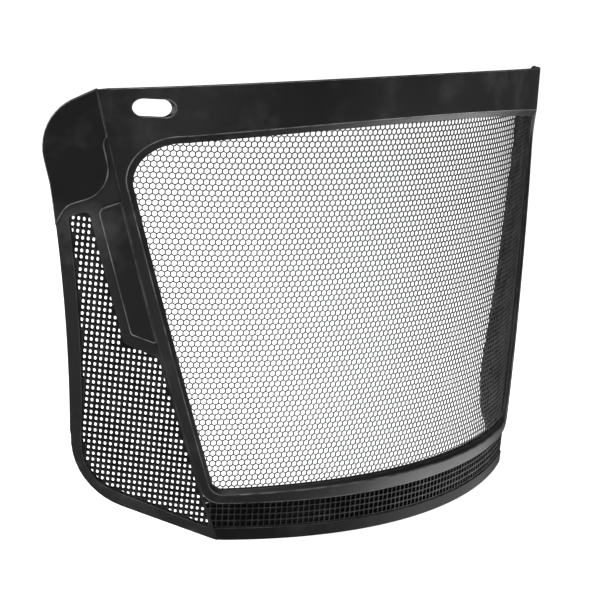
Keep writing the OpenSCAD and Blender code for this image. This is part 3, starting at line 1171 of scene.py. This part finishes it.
def chin_grille():
    """The lattice of blind square holes between the border and the window's rail."""
    strip = cut(chin_loop(BORDER_H, RAIL_Z + 2.5, 0), frame_loop(), keep_inside=False)
    region = ahead_of_folds(strip)
    half = fold_at(CHIN_RISE)
    columns = int(half / CHIN_PITCH[0]) + 2
    first = BORDER_H + CHIN_FIRST_GAP + CHIN_PITCH[1] / 2
    holes = []
    for j in range(CHIN_ROWS):
        for i in range(-columns, columns + 1):
            x = i * CHIN_PITCH[0]
            z = first + j * CHIN_PITCH[1] + CHIN_RISE * (x / half) ** 2
            holes.append(square_hole(CHIN_HOLE, 0.15) + [x, z])
    holes = holes_within(region, holes)
    holes = trimmed_holes(holes, region, CHIN_RIB)
    far = FRAME_T - HAIR
    rim = wall(region, VENT_STEP, far, near_r=0.05, far_r=0.05, steps=1)
    walls = [rim, *lattice_walls(holes, VENT_STEP, far, CHIN_TAPER)]
    lattice = [plate(on_front, walls, NO_FILLING)]
    piece("chin_lattice", lattice, "chin_grille", LATTICE_BLACK)


# ---- Studio ----
ROOM_LIGHT = 0.07
FLOOR_HALF = 6
FLOOR_GAP = 0.0005
CAMERA_AZIMUTH = math.radians(-46.9)
CAMERA_ELEVATION = math.radians(12.59)
CAMERA_ROLL = math.radians(3.71)
CAMERA_AIM = (-0.038, 0, -0.0024)
CAMERA_DISTANCE = 0.84
LENS = 120
SENSOR = 36


def studio_world():
    """White behind the object, and a dimmer grey room in its reflections and light."""
    world = bpy.data.worlds.new("studio")
    bpy.context.scene.world = world
    world.use_nodes = True
    tree = world.node_tree
    tree.nodes.clear()
    seen = tree.nodes.new("ShaderNodeBackground")
    seen.inputs["Color"].default_value = (1, 1, 1, 1)
    seen.inputs["Strength"].default_value = 1
    lit = tree.nodes.new("ShaderNodeBackground")
    lit.inputs["Strength"].default_value = ROOM_LIGHT
    rays = tree.nodes.new("ShaderNodeLightPath")
    mix = tree.nodes.new("ShaderNodeMixShader")
    output = tree.nodes.new("ShaderNodeOutputWorld")
    tree.links.new(rays.outputs["Is Camera Ray"], mix.inputs[0])
    tree.links.new(lit.outputs[0], mix.inputs[1])
    tree.links.new(seen.outputs[0], mix.inputs[2])
    tree.links.new(mix.outputs[0], output.inputs["Surface"])


def floor():
    """A white floor that takes no shadow and doesn't show in the object's gloss."""
    mesh = bpy.data.meshes.new("floor")
    z, h = CAD_BOX[0].z - FLOOR_GAP, FLOOR_HALF
    corners = [(-h, -h, z), (h, -h, z), (h, h, z), (-h, h, z)]
    mesh.from_pydata(corners, [], [(0, 1, 2, 3)])
    obj = bpy.data.objects.new("floor", mesh)
    bpy.context.scene.collection.objects.link(obj)
    material = bpy.data.materials.new("pale_floor")
    material.use_nodes = True
    shader = material.node_tree.nodes["Principled BSDF"]
    shader.inputs["Base Color"].default_value = (0.9, 0.9, 0.9, 1)
    shader.inputs["Roughness"].default_value = 0.9
    shader.inputs["Specular IOR Level"].default_value = 0
    shader.inputs["Emission Color"].default_value = (1, 1, 1, 1)
    shader.inputs["Emission Strength"].default_value = 1
    mesh.materials.append(material)
    obj.visible_glossy = False
    obj.visible_shadow = False


def soft_light(name, azimuth, elevation, distance, size, power):
    """A soft light of this width and height that looks at the object's middle."""
    low, high = CAD_BOX
    middle = (low + high) / 2
    a, e = math.radians(azimuth), math.radians(elevation)
    back = Vector((math.sin(a) * math.cos(e), -math.cos(a) * math.cos(e), math.sin(e)))
    data = bpy.data.lights.new(name, "AREA")
    data.shape = "RECTANGLE"
    data.size, data.size_y = size
    data.energy = power
    light = bpy.data.objects.new(name, data)
    light.location = middle + back * distance
    light.rotation_mode = "QUATERNION"
    light.rotation_quaternion = back.to_track_quat("Z", "Y")
    bpy.context.scene.collection.objects.link(light)


def camera():
    """A camera that looks down at the front's right half, a little rolled."""
    low, high = CAD_BOX
    aim = (low + high) / 2 + Vector(CAMERA_AIM)
    turn = (
        Matrix.Rotation(CAMERA_AZIMUTH, 4, "Z")
        @ Matrix.Rotation(math.pi / 2 - CAMERA_ELEVATION, 4, "X")
        @ Matrix.Rotation(CAMERA_ROLL, 4, "Z")
    )
    data = bpy.data.cameras.new("camera")
    data.lens = LENS
    data.sensor_width = SENSOR
    data.clip_start = 0.01
    obj = bpy.data.objects.new("camera", data)
    obj.matrix_world = Matrix.Translation(aim) @ turn @ Matrix.Translation((0, 0, CAMERA_DISTANCE))
    bpy.context.scene.collection.objects.link(obj)
    bpy.context.scene.camera = obj


camera()
studio_world()
floor()
soft_light("left_strip", -140, 10, 1.2, (0.45, 1.4), 9)
soft_light("right_strip", 58, -26, 1.0, (0.9, 0.25), 2.4)
soft_light("top_box", -30, 72, 1.3, (0.9, 0.9), 12)
soft_light("front_fill", -33, -6, 1.3, (0.3, 0.9), 0.9)
soft_light("table_bounce", 60, -38, 0.7, (0.8, 0.5), 1.5)
bpy.context.scene.view_settings.view_transform = "Standard"

front_frame()
mesh_screen()
clamp_ring()
clamp_stakes()
side_panel("left", on_left)
side_panel("right", on_right)
chin_band()
chin_grille()
